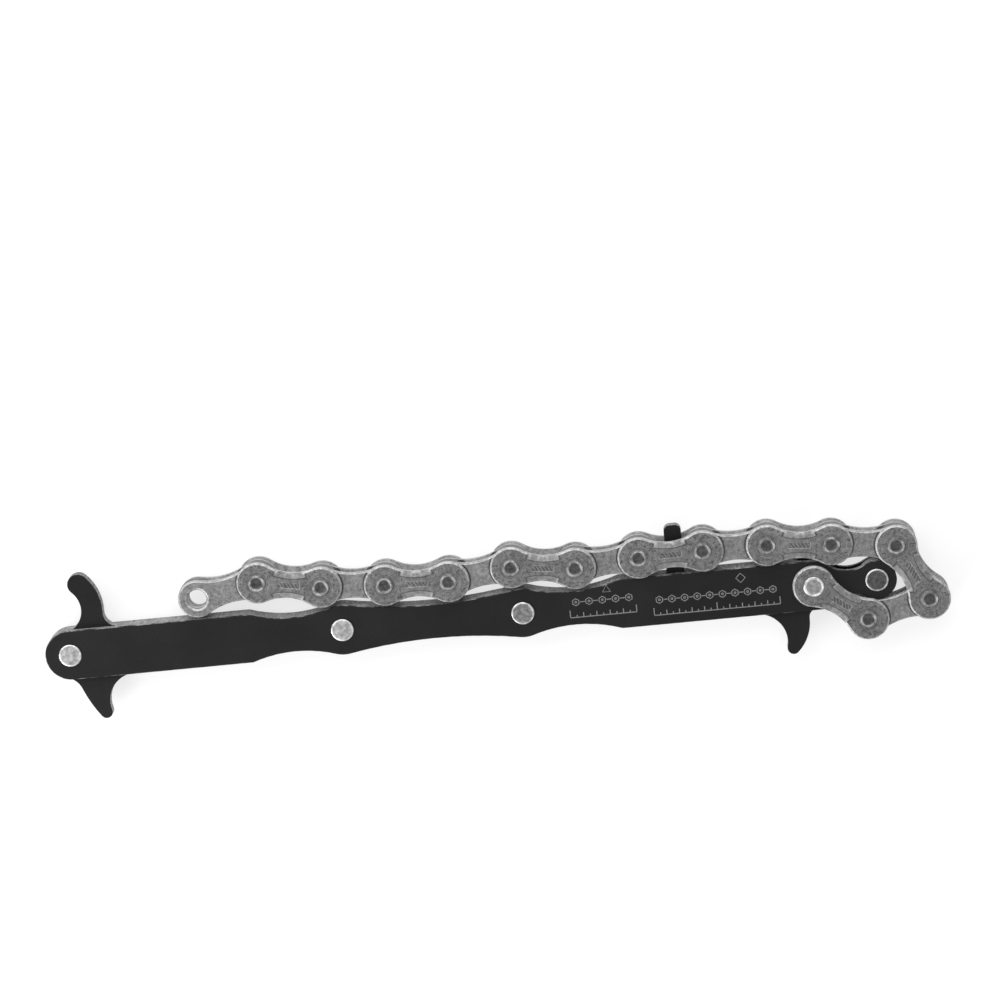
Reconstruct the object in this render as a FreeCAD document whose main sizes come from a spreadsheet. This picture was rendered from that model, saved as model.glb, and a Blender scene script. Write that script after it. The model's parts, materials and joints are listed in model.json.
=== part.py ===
"""Bicycle chain tool: a riveted three-layer bar with a claw, two hooks and a peg, and the
roller chain that is pinned near the bar's end and lies along its top edge.

Millimetres. The bar lies flat: +X runs along it towards the chain's pivot, +Y towards the
claw and the chain, +Z out of the front side plate. The bar's own frame starts at the axis of
its handle rivet, half-way through its thickness. At the end every piece is moved together, so
that the origin is under the middle of the whole tool.
"""
import FreeCAD
import Part
import Sketcher
import math
import os
from FreeCAD import Placement, Rotation, Vector

# ---------------------------------------------------------------- driving dimensions
SIZES = {
    # roller chain
    "pitch": 12.7,
    "roller_diameter": 7.7,
    "roller_width": 2.2,
    "collar_diameter": 4.9,
    "pin_diameter": 3.6,
    "pin_overhang": 0.15,
    "pin_dimple_diameter": 1.9,
    "pin_dimple_depth": 0.2,
    "running_gap": 0.05,
    "side_gap": 0.05,
    "collar_meeting_gap": 0.2,
    "inner_plate_thickness": 1.0,
    "inner_plate_end_radius": 3.8,
    "inner_plate_waist": 2.55,
    "outer_plate_thickness": 0.95,
    "outer_plate_end_radius": 4.15,
    "outer_plate_waist": 2.6,
    "waist_bevel_width": 1.15,
    "waist_bevel_depth": 0.35,
    "waist_bevel_angle": 34.0,
    "inner_plate_edge": 0.28,
    "outer_plate_edge": 0.32,
    # bar, three layers
    "hook_plate_thickness": 2.2,
    "side_plate_thickness": 1.1,
    "bar_edge": 0.15,
    "handle_end_radius": 5.05,
    "handle_half_width": 5.0,
    "first_waist": 3.54,
    "first_waist_radius": 26.0,
    "middle_boss_radius": 5.15,
    "second_waist_radius": 98.0,
    "body_boss_radius": 5.03,
    "third_waist": 3.42,
    "third_waist_radius": 27.5,
    "body_half_width": 5.05,
    "body_corner_radius": 1.5,
    "end_waist": 2.45,
    "end_waist_radius": 6.3,
    "end_boss_radius": 3.95,
    "pivot_to_end_pin": 12.5,
    "middle_rivet_to_pivot": 93.9,
    "body_rivet_to_pivot": 57.75,
    "rivet_diameter": 3.6,
    "rivet_head_diameter": 4.6,
    "rivet_head_height": 0.3,
    "rivet_dish_diameter": 3.5,
    "rivet_dish_depth": 0.08,
    "pivot_head_diameter": 4.2,
    # wear gauge: the claw takes one roller and the peg another, this many pitches on
    "gauge_pitches": 10.0,
    "stretch_limit": 0.01,
    "peg_width": 3.4,
    "peg_height": 14.7,
    "peg_corner_radius": 1.2,
    "peg_root_flare": 0.25,
    # claw
    "claw_inset": 3.2,
    "claw_seat_radius": 4.75,
    "claw_seat_height": 9.1,
    "claw_tip_radius": 2.13,
    "claw_lean": 46.2,
    "claw_back_radius": 10.05,
    "claw_back_height": 8.64,
    "claw_root_fillet": 2.6,
    # the two chain hooks under the bar; a back's centre is given from the seat's centre
    # towards the hollow, and down from the bar's axis
    "hook_seat_radius": 5.9,
    "hook_tip_radius": 1.25,
    "left_hook_from_claw": 9.25,
    "left_hook_back_radius": 25.0,
    "left_hook_back_shift": 12.385,
    "left_hook_back_drop": -1.15,
    "left_hook_root_fillet": 4.1,
    "right_hook_to_pivot": 11.9,
    "right_hook_back_radius": 9.0,
    "right_hook_back_shift": -1.61,
    "right_hook_back_drop": 7.0,
    "right_hook_root_fillet": 1.6,
    # how the chain lies when it is stowed
    "rest_gap": 0.05,
    "wrap_gap": 0.17,
    "wrap_exit_angle": 57.0,
}
# Height of each roller above the lowest it could lie on the straight part of the bar.
REST_LIFTS = {5: -0.75, 6: 0.28, 7: 0.39, 8: 0.21, 9: -0.71, 10: 0.71,
              11: -0.96, 12: -0.46, 13: 0.37, 14: 2.46, 15: 0.1}
LINKS = 14
ROOT = 2.0  # how far a claw, hook or peg is rooted in the bar's middle layer
SETTLINGS = 4  # rounds in which a pin that a wide boss lifts finds its place
BITE = 0.02  # how far a fillet runs into the edge that it dies away on

document = FreeCAD.newDocument("chain_tool")
sheet = document.addObject("Spreadsheet::Sheet", "sizes")
known = {}


def set_size(alias, value):
    """Put a number in the sheet under its name."""
    known[alias] = value
    row = len(known)
    sheet.set(f"A{row}", alias)
    sheet.set(f"B{row}", f"{value:.9g}")
    sheet.setAlias(f"B{row}", alias)


for alias, value in SIZES.items():
    set_size(alias, value)


def size(alias):
    return known[alias]


# ---------------------------------------------------------------- plane geometry
def turned(vector, degrees):
    angle = math.radians(degrees)
    return Vector(vector.x * math.cos(angle) - vector.y * math.sin(angle),
                  vector.x * math.sin(angle) + vector.y * math.cos(angle), 0)


def circles_meet(centre, radius, other, other_radius, left):
    """Where two circles cross, on the left or the right of the way from centre to other."""
    way = other - centre
    along = (radius ** 2 - other_radius ** 2 + way.Length ** 2) / (2 * way.Length)
    aside = math.sqrt(radius ** 2 - along ** 2) * (1 if left else -1)
    way.normalize()
    return centre + way * along + Vector(-way.y, way.x, 0) * aside


def towards(centre, other, radius):
    """The point of a circle that faces another point."""
    way = other - centre
    way.normalize()
    return centre + way * radius


# ---------------------------------------------------------------- how the chain lies
def waist_beside(rivet_x, boss_radius, waist, waist_radius, side):
    """The centre of a waist's arc that touches a boss, on one side of it."""
    height = waist + waist_radius
    across = math.sqrt((waist_radius + boss_radius) ** 2 - height ** 2)
    return Vector(rivet_x + side * across, height, 0)


def second_waist_centre(middle_x, boss_x):
    """The centre of the long waist that touches the middle boss and the body boss."""
    radius = size("second_waist_radius")
    return circles_meet(Vector(middle_x, 0, 0), size("middle_boss_radius") + radius,
                        Vector(boss_x, 0, 0), size("body_boss_radius") + radius, left=True)


def body_top(boss_x, end_pin_x):
    """The ends of the straight upper edge between the third waist and the end waist, and the
    centre of the round corner at its right."""
    third_radius = size("third_waist_radius")
    third = waist_beside(boss_x, size("body_boss_radius"), size("third_waist"), third_radius, 1)
    half = size("body_half_width")
    start = third.x + math.sqrt(third_radius ** 2 - (third.y - half) ** 2)
    fourth = waist_beside(end_pin_x, size("end_boss_radius"), size("end_waist"),
                          size("end_waist_radius"), -1)
    corner_radius = size("body_corner_radius")
    corner_y = half - corner_radius
    run = math.sqrt((size("end_waist_radius") + corner_radius) ** 2 - (fourth.y - corner_y) ** 2)
    return start, Vector(fourth.x - run, corner_y, 0)


def lowest_axis(x):
    """How low a roller's axis can lie over the bar's upper edge, with the pivot at (0, 0)."""
    roller_radius = size("roller_diameter") / 2
    boss_x = -size("body_rivet_to_pivot")
    middle_x = -size("middle_rivet_to_pivot")
    start, corner = body_top(boss_x, size("pivot_to_end_pin"))
    rounds = [(Vector(middle_x, 0, 0), size("middle_boss_radius")),
              (Vector(boss_x, 0, 0), size("body_boss_radius")),
              (Vector(start, size("body_half_width"), 0), 0),
              (corner, size("body_corner_radius"))]
    heights = [0]
    for centre, radius in rounds:
        reach = (radius + roller_radius + size("rest_gap")) ** 2 - (x - centre.x) ** 2
        if reach > 0:
            heights.append(centre.y + math.sqrt(reach))
    if start < x < corner.x:
        heights.append(size("body_half_width") + roller_radius + size("rest_gap"))
    if middle_x < x < boss_x:
        hollow = second_waist_centre(middle_x, boss_x)
        inside = size("second_waist_radius") - roller_radius - size("rest_gap")
        heights.append(hollow.y - math.sqrt(inside ** 2 - (x - hollow.x) ** 2))
    return max(heights)


def pivot_frame_pins():
    """The chain's pin axes when stowed, with the pivot at (0, 0): down round the bar's end
    boss, back over it, and along the top edge to the free end."""
    pitch = size("pitch")
    roller_radius = size("roller_diameter") / 2
    wrap_radius = max(size("end_boss_radius"), roller_radius) + roller_radius + size("wrap_gap")
    end_pin = Vector(size("pivot_to_end_pin"), 0, 0)
    first = Vector(0, 0, 0)
    second = circles_meet(first, pitch, end_pin, wrap_radius, left=False)
    fourth = end_pin + turned(Vector(wrap_radius, 0, 0), size("wrap_exit_angle"))
    third = circles_meet(second, pitch, fourth, pitch, left=False)
    pins = [first, second, third, fourth]
    level = size("body_half_width") + roller_radius
    for lift in REST_LIFTS.values():
        height = level + lift
        for _ in range(SETTLINGS):
            rise = height - pins[-1].y
            pin = pins[-1] + Vector(-math.sqrt(pitch ** 2 - rise ** 2), rise, 0)
            height = max(height, lowest_axis(pin.x))
        pins.append(pin)
    return pins


def first_waist_centre():
    """The centre of the waist between the handle and the middle rivet."""
    height = size("first_waist") + size("first_waist_radius")
    across = math.sqrt((size("first_waist_radius") + size("middle_boss_radius")) ** 2
                       - height ** 2)
    return Vector(size("middle_rivet_x") - across, height, 0)


def handle_line():
    """The handle's straight upper edge: where it leaves the round end as a tangent, and the
    shoulder where the first waist starts."""
    waist = first_waist_centre()
    half = size("handle_half_width")
    run = math.sqrt(size("first_waist_radius") ** 2 - (waist.y - half) ** 2)
    shoulder = Vector(waist.x - run, half, 0)
    end_radius = size("handle_end_radius")
    leaning = math.atan2(half, shoulder.x) + math.acos(end_radius / shoulder.Length)
    return Vector(math.cos(leaning), math.sin(leaning), 0) * end_radius, shoulder


def handle_edge(x):
    """Half of the handle's width at a station, less the bite of a fillet that ends there."""
    leaving, shoulder = handle_line()
    slope = (shoulder.y - leaving.y) / (shoulder.x - leaving.x)
    return leaving.y + slope * (x - leaving.x) - BITE


def claw_circles():
    """The claw's seat, tip and back. The tip touches the seat from outside and the back from
    inside."""
    seat = Vector(size("claw_inset") - size("claw_seat_radius"), size("claw_seat_height"), 0)
    reach = size("claw_seat_radius") + size("claw_tip_radius")
    tip = seat + turned(Vector(reach, 0, 0), size("claw_lean"))
    inside = size("claw_back_radius") - size("claw_tip_radius")
    rise = tip.y - size("claw_back_height")
    back = Vector(tip.x - math.sqrt(inside ** 2 - rise ** 2), size("claw_back_height"), 0)
    return seat, tip, back


def claw_root():
    """The centre of the fillet between the claw's back and the handle."""
    back = claw_circles()[2]
    fillet = size("claw_root_fillet")
    height = known.get("claw_root_edge", size("handle_half_width")) + fillet
    reach = size("claw_back_radius") + fillet
    return Vector(back.x + math.sqrt(reach ** 2 - (height - back.y) ** 2), height, 0)


def stations():
    """Places along the bar that follow from the chain: its peg stands against a roller, its
    claw a gauge length from the peg, and its handle rivet beside the claw."""
    seventh = pivot_frame_pins()[6]
    peg_to_pivot = -(seventh.x - size("roller_diameter") / 2 - size("rest_gap"))
    gauge = size("gauge_pitches") * size("pitch") * (1 + size("stretch_limit"))
    gauge -= size("roller_diameter")
    set_size("peg_face_x", size("claw_inset") + gauge)
    set_size("pivot_x", size("peg_face_x") + peg_to_pivot)
    set_size("end_pin_x", size("pivot_x") + size("pivot_to_end_pin"))
    set_size("middle_rivet_x", size("pivot_x") - size("middle_rivet_to_pivot"))
    set_size("body_rivet_x", size("pivot_x") - size("body_rivet_to_pivot"))
    set_size("left_hook_x", size("claw_inset") + size("left_hook_from_claw"))
    set_size("right_hook_x", size("pivot_x") - size("right_hook_to_pivot"))
    set_size("left_hook_edge", handle_edge(size("left_hook_x")))
    set_size("right_hook_edge", size("body_half_width") - BITE)
    set_size("claw_root_edge", handle_edge(claw_root().x))


stations()
PINS = [pin + Vector(size("pivot_x"), 0, 0) for pin in pivot_frame_pins()]
BAR_HALF = "(sizes.hook_plate_thickness / 2 + sizes.side_plate_thickness)"
INNER_FACE = (f"max(sizes.roller_width / 2 + sizes.side_gap;"
              f" {BAR_HALF} - sizes.inner_plate_thickness - sizes.side_gap)")
OUTER_FACE = (f"(max({BAR_HALF}; {INNER_FACE} + sizes.inner_plate_thickness)"
              " + sizes.side_gap)")
bar_half = size("hook_plate_thickness") / 2 + size("side_plate_thickness")
inner_face = max(size("roller_width") / 2 + size("side_gap"),
                 bar_half - size("inner_plate_thickness") - size("side_gap"))
outer_face = max(bar_half, inner_face + size("inner_plate_thickness")) + size("side_gap")


# ---------------------------------------------------------------- sketches and features
def origin_feature(body, role):
    return next(item for item in body.Origin.OriginFeatures if item.Role == role)


class Outline:
    """A closed outline in a sketch. Each edge starts where the one before it ends, and a
    smooth joint between two edges is held as a tangency."""

    def __init__(self, body, name, plane="XY_Plane", offset=None):
        self.sketch = body.newObject("Sketcher::SketchObject", name)
        self.sketch.AttachmentSupport = [(origin_feature(body, plane), "")]
        self.sketch.MapMode = "FlatFace"
        if offset:
            self.sketch.AttachmentOffset = offset
        self.edges = []

    def start(self, x, y):
        self.at = Vector(x, y, 0)
        return self

    def join(self, edge, first, last, smooth):
        self.edges.append((edge, first, last))
        if len(self.edges) > 1:
            before = self.edges[-2]
            kind = "Tangent" if smooth else "Coincident"
            self.hold(kind, before[0], before[2], edge, first)
        return edge

    def line(self, x, y, smooth=False):
        there = Vector(x, y, 0)
        edge = self.sketch.addGeometry(Part.LineSegment(self.at, there), False)
        self.at = there
        return self.join(edge, 1, 2, smooth)

    def arc(self, centre, x, y, clockwise=False, smooth=False):
        there = Vector(x, y, 0)
        circle = Part.Circle(centre, Vector(0, 0, 1), (there - centre).Length)
        ends = [self.at, there]
        if clockwise:
            ends.reverse()
        angles = [math.atan2(p.y - centre.y, p.x - centre.x) for p in ends]
        edge = self.sketch.addGeometry(Part.ArcOfCircle(circle, *angles), False)
        self.at = there
        return self.join(edge, *((2, 1) if clockwise else (1, 2)), smooth)

    def close(self):
        first = self.edges[0]
        last = self.edges[-1]
        self.hold("Coincident", last[0], last[2], first[0], first[1])
        return self.sketch

    def circle(self, x, y, radius):
        where = Vector(x, y, 0)
        return self.sketch.addGeometry(Part.Circle(where, Vector(0, 0, 1), radius), False)

    def hold(self, kind, *where):
        return self.sketch.addConstraint(Sketcher.Constraint(kind, *where))

    def bind(self, kind, *where):
        """Hold a size of the sketch to an expression, which comes last."""
        *where, expression = where
        value = self.sketch.evalExpression(expression)
        number = self.hold(kind, *where, float(getattr(value, "Value", value)))
        self.sketch.setExpression(f"Constraints[{number}]", expression)


def plain(expression):
    """The value of an expression on the sheet."""
    value = sheet.evalExpression(expression)
    return float(getattr(value, "Value", value))


def pad(body, sketch, length, midplane=False, name="pad"):
    feature = body.newObject("PartDesign::Pad", f"{body.Name}_{name}")
    feature.Profile = sketch
    feature.setExpression("Length", length)
    feature.Midplane = midplane
    sketch.Visibility = False
    return feature


def cut_through(body, sketch, name="holes"):
    feature = body.newObject("PartDesign::Pocket", f"{body.Name}_{name}")
    feature.Profile = sketch
    feature.Type = "ThroughAll"
    feature.Midplane = True
    return feature


def mirrored(body, originals, role="XZ_Plane", name="mirror"):
    feature = body.newObject("PartDesign::Mirrored", f"{body.Name}_{name}")
    feature.Originals = originals
    feature.MirrorPlane = (origin_feature(body, role), [""])
    body.Tip = feature
    return feature


def edges_where(shape, test):
    return [f"Edge{number}" for number, edge in enumerate(shape.Edges, 1) if test(edge)]


def chamfer(body, base, edges, size_expression, name="edge"):
    feature = body.newObject("PartDesign::Chamfer", f"{body.Name}_{name}")
    feature.Base = (base, edges)
    feature.setExpression("Size", size_expression)
    return feature


def lies_at(edge, z):
    return abs(edge.BoundBox.ZMin - z) < 1e-6 and abs(edge.BoundBox.ZMax - z) < 1e-6


def is_hole(edge):
    return edge.isClosed() and isinstance(edge.Curve, Part.Circle)


def new_body(name):
    body = document.addObject("PartDesign::Body", name)
    body.Label = name
    return body


def revolved(name, profile, place):
    """A turned piece. The profile holds (radius, height) pairs of expressions that start and
    end on the axis, or that go right round a ring."""
    body = new_body(name)
    outline = Outline(body, f"{name}_profile", "XZ_Plane")
    points = [(plain(radius), plain(height)) for radius, height in profile]
    outline.start(*points[0])
    for point in points[1:] + points[:1]:
        outline.line(*point)
    sketch = outline.close()
    for number, (radius, height) in enumerate(profile):
        edge = outline.edges[number][0]
        across, along = points[number]
        if abs(across) < 1e-9:
            outline.hold("PointOnObject", edge, 1, -2)
        else:
            outline.bind("DistanceX", -1, 1, edge, 1, radius)
        if abs(along) < 1e-9:
            outline.hold("PointOnObject", edge, 1, -1)
        elif along > 0:
            outline.bind("DistanceY", -1, 1, edge, 1, height)
        else:
            outline.bind("DistanceY", edge, 1, -1, 1, f"-({height})")
    turn = body.newObject("PartDesign::Revolution", f"{name}_turned")
    turn.Profile = sketch
    turn.ReferenceAxis = (sketch, ["V_Axis"])
    turn.Angle = 360
    body.Placement = place
    return body


def both_ends(half):
    """A turned profile from its upper half, which runs from the axis to mid-height."""
    return half + [(radius, f"-({height})") for radius, height in reversed(half)]


# ---------------------------------------------------------------- the bar
def bar_outline(outline, hook_layer):
    """The upper half of the bar's outline, from the handle's round end to the end boss. The
    hook layer stops in a nose round the pivot, so that a sprocket tooth can come in between
    the pivot and the end roller."""
    end_radius = size("handle_end_radius")
    middle = Vector(size("middle_rivet_x"), 0, 0)
    boss = Vector(size("body_rivet_x"), 0, 0)
    middle_radius = size("middle_boss_radius")
    boss_radius = size("body_boss_radius")
    body_half = size("body_half_width")

    first = first_waist_centre()
    leaving, shoulder = handle_line()
    second = second_waist_centre(middle.x, boss.x)
    third_radius = size("third_waist_radius")
    third = waist_beside(boss.x, boss_radius, size("third_waist"), third_radius, 1)
    body_start, corner = body_top(boss.x, size("end_pin_x"))

    outline.start(-end_radius, 0)
    end = outline.arc(Vector(0, 0, 0), leaving.x, leaving.y, clockwise=True)
    outline.line(shoulder.x, shoulder.y, smooth=True)
    touch = towards(middle, first, middle_radius)
    waist_1 = outline.arc(first, touch.x, touch.y)
    touch = towards(middle, second, middle_radius)
    boss_1 = outline.arc(middle, touch.x, touch.y, clockwise=True, smooth=True)
    touch = towards(boss, second, boss_radius)
    waist_2 = outline.arc(second, touch.x, touch.y, smooth=True)
    touch = towards(boss, third, boss_radius)
    boss_2 = outline.arc(boss, touch.x, touch.y, clockwise=True, smooth=True)
    waist_3 = outline.arc(third, body_start, body_half)

    outline.hold("Coincident", end, 3, -1, 1)
    outline.bind("Radius", end, "sizes.handle_end_radius")
    outline.bind("DistanceY", -1, 1, waist_1, outline.edges[2][1], "sizes.handle_half_width")
    outline.bind("Radius", waist_1, "sizes.first_waist_radius")
    outline.bind("DistanceY", -1, 1, waist_1, 3, "sizes.first_waist + sizes.first_waist_radius")
    outline.bind("Radius", waist_2, "sizes.second_waist_radius")
    outline.bind("Radius", waist_3, "sizes.third_waist_radius")
    outline.bind("DistanceY", -1, 1, waist_3, 3, "sizes.third_waist + sizes.third_waist_radius")
    for arc, name in ((boss_1, "middle"), (boss_2, "body")):
        outline.bind("Radius", arc, f"sizes.{name}_boss_radius")
        outline.bind("DistanceX", -1, 1, arc, 3, f"sizes.{name}_rivet_x")
        outline.hold("PointOnObject", arc, 3, -1)

    if hook_layer:
        pivot = Vector(size("pivot_x"), 0, 0)
        nose = size("roller_diameter") / 2
        stop = pivot + Vector(-nose, body_half, 0)
        top = outline.line(stop.x, stop.y)
        side = (stop - pivot).Length
        lean = math.atan2(body_half, -nose) - math.acos(nose / side)
        touch = pivot + Vector(math.cos(lean), math.sin(lean), 0) * nose
        outline.line(touch.x, touch.y)
        cap = outline.arc(pivot, pivot.x + nose, 0, clockwise=True, smooth=True)
        outline.bind("Radius", cap, "sizes.roller_diameter / 2")
        outline.bind("DistanceX", -1, 1, cap, 3, "sizes.pivot_x")
        outline.bind("DistanceX", -1, 1, top, 2, "sizes.pivot_x - sizes.roller_diameter / 2")
        last = cap
    else:
        end_pin = Vector(size("end_pin_x"), 0, 0)
        end_boss = size("end_boss_radius")
        waist_radius = size("end_waist_radius")
        fourth = waist_beside(end_pin.x, end_boss, size("end_waist"), waist_radius, -1)
        top = outline.line(corner.x, body_half)
        touch = towards(corner, fourth, size("body_corner_radius"))
        corner_arc = outline.arc(corner, touch.x, touch.y, clockwise=True, smooth=True)
        touch = towards(end_pin, fourth, end_boss)
        waist_4 = outline.arc(fourth, touch.x, touch.y, smooth=True)
        outline.bind("Radius", corner_arc, "sizes.body_corner_radius")
        cap = outline.arc(end_pin, end_pin.x + end_boss, 0, clockwise=True, smooth=True)
        outline.bind("Radius", waist_4, "sizes.end_waist_radius")
        outline.bind("DistanceY", -1, 1, waist_4, 3, "sizes.end_waist + sizes.end_waist_radius")
        outline.bind("Radius", cap, "sizes.end_boss_radius")
        outline.bind("DistanceX", -1, 1, cap, 3, "sizes.end_pin_x")
        last = cap
    outline.bind("DistanceY", -1, 1, top, 1, "sizes.body_half_width")
    outline.hold("Horizontal", top)
    outline.hold("PointOnObject", last, 3, -1)
    outline.line(-end_radius, 0)
    outline.close()
    outline.hold("PointOnObject", last, 1, -1)
    outline.hold("PointOnObject", end, outline.edges[0][1], -1)
    return outline.sketch


def bar_holes(body, end_too):
    """Rivet holes that the rivets fill, and a running hole for the chain's pivot pin."""
    outline = Outline(body, f"{body.Name}_hole_layout")
    holes = [("", "sizes.rivet_diameter / 2"),
             ("sizes.middle_rivet_x", "sizes.rivet_diameter / 2"),
             ("sizes.body_rivet_x", "sizes.rivet_diameter / 2"),
             ("sizes.pivot_x", "sizes.pin_diameter / 2 + sizes.running_gap")]
    if end_too:
        holes.append(("sizes.end_pin_x", "sizes.rivet_diameter / 2"))
    for where, radius in holes:
        hole = outline.circle(plain(where) if where else 0, 0, plain(radius))
        outline.bind("Radius", hole, radius)
        outline.hold("PointOnObject", hole, 3, -1)
        if where:
            outline.bind("DistanceX", -1, 1, hole, 3, where)
        else:
            outline.hold("PointOnObject", hole, 3, -2)
    return cut_through(body, outline.sketch)


def side_plate(name, front):
    """An outer layer of the bar. It is drawn with its outer face up; the back one is turned
    over about the bar's length."""
    body = new_body(name)
    sketch = bar_outline(Outline(body, f"{name}_outline"), hook_layer=False)
    plate = pad(body, sketch, "sizes.side_plate_thickness")
    mirrored(body, [plate])
    bar_holes(body, end_too=True)
    document.recompute()
    top = size("side_plate_thickness")
    edges = edges_where(body.Tip.Shape, lambda edge: lies_at(edge, top) and not is_hole(edge))
    chamfer(body, body.Tip, edges, "sizes.bar_edge")
    turn = Rotation() if front else Rotation(Vector(1, 0, 0), 180)
    side = 1 if front else -1
    body.Placement = Placement(Vector(0, 0, side * size("hook_plate_thickness") / 2), turn)
    return body


def claw(body):
    """The claw above the handle: a round seat for a chain roller on its left, a round tip and
    a back that curves down into the bar."""
    seat, tip, back = claw_circles()
    fillet = claw_root()
    edge_y = size("claw_root_edge")
    foot = edge_y - ROOT
    outline = Outline(body, "claw_outline")
    low = seat - Vector(0, size("claw_seat_radius"), 0)
    outline.start(low.x, foot)
    inside = outline.line(low.x, low.y)
    touch = towards(seat, tip, size("claw_seat_radius"))
    seat_arc = outline.arc(seat, touch.x, touch.y)
    crown = back + (tip - back) * (size("claw_back_radius") / (tip - back).Length)
    tip_arc = outline.arc(tip, crown.x, crown.y, clockwise=True, smooth=True)
    touch = towards(back, fillet, size("claw_back_radius"))
    back_arc = outline.arc(back, touch.x, touch.y, clockwise=True, smooth=True)
    root_arc = outline.arc(fillet, fillet.x, edge_y, smooth=True)
    outline.line(fillet.x, foot)
    floor = outline.line(low.x, foot)
    outline.close()
    outline.hold("Vertical", inside)
    outline.hold("Horizontal", floor)
    outline.bind("Radius", seat_arc, "sizes.claw_seat_radius")
    outline.bind("DistanceX", seat_arc, 3, -1, 1, "sizes.claw_seat_radius - sizes.claw_inset")
    outline.bind("DistanceY", -1, 1, seat_arc, 3, "sizes.claw_seat_height")
    outline.bind("Radius", tip_arc, "sizes.claw_tip_radius")
    outline.bind("DistanceX", seat_arc, 3, tip_arc, 3,
                 "(sizes.claw_seat_radius + sizes.claw_tip_radius) * cos(sizes.claw_lean * 1deg)")
    outline.bind("Radius", back_arc, "sizes.claw_back_radius")
    outline.bind("DistanceY", -1, 1, back_arc, 3, "sizes.claw_back_height")
    outline.bind("Radius", root_arc, "sizes.claw_root_fillet")
    outline.bind("DistanceY", -1, 1, root_arc, 3,
                 "sizes.claw_root_edge + sizes.claw_root_fillet")
    return pad(body, outline.sketch, "sizes.hook_plate_thickness", True, "claw")


def hook(body, name, station, bar_edge, side):
    """A fang under the bar that holds a chain by a roller. Its seat is a round hollow that
    leaves the bar's edge smoothly; side is 1 if the hollow faces +X. The left hook's back
    springs from the handle's round end, and the right one's from the straight edge."""
    seat_radius = size("hook_seat_radius")
    edge_y = -size(bar_edge)
    across = size(station)
    seat = Vector(across, edge_y - seat_radius, 0)
    back_radius = size(f"{name}_back_radius")
    back = Vector(across + side * size(f"{name}_back_shift"), -size(f"{name}_back_drop"), 0)
    tip_radius = size("hook_tip_radius")
    tip = circles_meet(back, back_radius - tip_radius, seat, seat_radius + tip_radius,
                       left=side < 0)
    root = size(f"{name}_root_fillet")
    if side > 0:
        end_radius = size("handle_end_radius") - BITE
        end = Vector(0, 0, 0)
        fillet = circles_meet(end, end_radius + root, back, back_radius + root, left=False)
        leaving = towards(end, fillet, end_radius)
    else:
        sink = edge_y - root
        reach = math.sqrt((back_radius + root) ** 2 - (sink - back.y) ** 2)
        fillet = Vector(back.x + reach, sink, 0)
        leaving = Vector(fillet.x, edge_y, 0)

    outline = Outline(body, f"{name}_outline")
    top = edge_y + ROOT
    outline.start(across, top)
    inside = outline.line(across, edge_y)
    touch = towards(seat, tip, seat_radius)
    seat_arc = outline.arc(seat, touch.x, touch.y, clockwise=side < 0)
    touch = back + (tip - back) * (back_radius / (tip - back).Length)
    tip_arc = outline.arc(tip, touch.x, touch.y, clockwise=side > 0, smooth=True)
    touch = towards(back, fillet, back_radius)
    back_arc = outline.arc(back, touch.x, touch.y, clockwise=side > 0, smooth=True)
    root_arc = outline.arc(fillet, leaving.x, leaving.y, clockwise=side < 0, smooth=True)
    outline.line(leaving.x, top)
    ceiling = outline.line(across, top)
    outline.close()
    outline.hold("Vertical", inside)
    outline.hold("Horizontal", ceiling)
    outline.bind("Radius", seat_arc, "sizes.hook_seat_radius")
    outline.bind("DistanceX", -1, 1, seat_arc, 3, f"sizes.{station}")
    outline.bind("DistanceY", seat_arc, 3, -1, 1, f"sizes.{bar_edge} + sizes.hook_seat_radius")
    outline.bind("Radius", tip_arc, "sizes.hook_tip_radius")
    outline.bind("Radius", back_arc, f"sizes.{name}_back_radius")
    outline.bind("Radius", root_arc, f"sizes.{name}_root_fillet")
    if side < 0:
        outline.bind("DistanceY", root_arc, 3, -1, 1,
                     f"sizes.{bar_edge} + sizes.{name}_root_fillet")
    return pad(body, outline.sketch, "sizes.hook_plate_thickness", True, name)


def peg(body):
    """The peg on the top edge. Its right face stands against the seventh roller when the
    chain is stowed, and against the last roller when the tool gauges a chain."""
    face = size("peg_face_x")
    width = size("peg_width")
    flare = size("peg_root_flare")
    foot = size("body_half_width") - ROOT
    corner = size("peg_corner_radius")
    shoulder = size("peg_height") - corner
    outline = Outline(body, "peg_outline").start(face, foot)
    right = outline.line(face, shoulder)
    right_corner = outline.arc(Vector(face - corner, shoulder, 0), face - corner,
                               size("peg_height"), smooth=True)
    crown = outline.line(face - width + corner, size("peg_height"))
    left_corner = outline.arc(Vector(face - width + corner, shoulder, 0), face - width,
                              shoulder, smooth=True)
    outline.line(face - width - flare, foot)
    floor = outline.line(face, foot)
    outline.close()
    outline.hold("Vertical", right)
    outline.hold("Horizontal", crown)
    outline.hold("Horizontal", floor)
    outline.bind("Radius", right_corner, "sizes.peg_corner_radius")
    outline.bind("Radius", left_corner, "sizes.peg_corner_radius")
    outline.bind("DistanceX", -1, 1, right_corner, 3,
                 "sizes.peg_face_x - sizes.peg_corner_radius")
    outline.bind("DistanceY", -1, 1, right_corner, 3,
                 "sizes.peg_height - sizes.peg_corner_radius")
    outline.bind("DistanceX", left_corner, 3, right_corner, 3,
                 "sizes.peg_width - 2 * sizes.peg_corner_radius")
    outline.bind("DistanceX", floor, 1, floor, 2, "sizes.peg_width + sizes.peg_root_flare")
    return pad(body, outline.sketch, "sizes.hook_plate_thickness", True, "peg")


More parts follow.
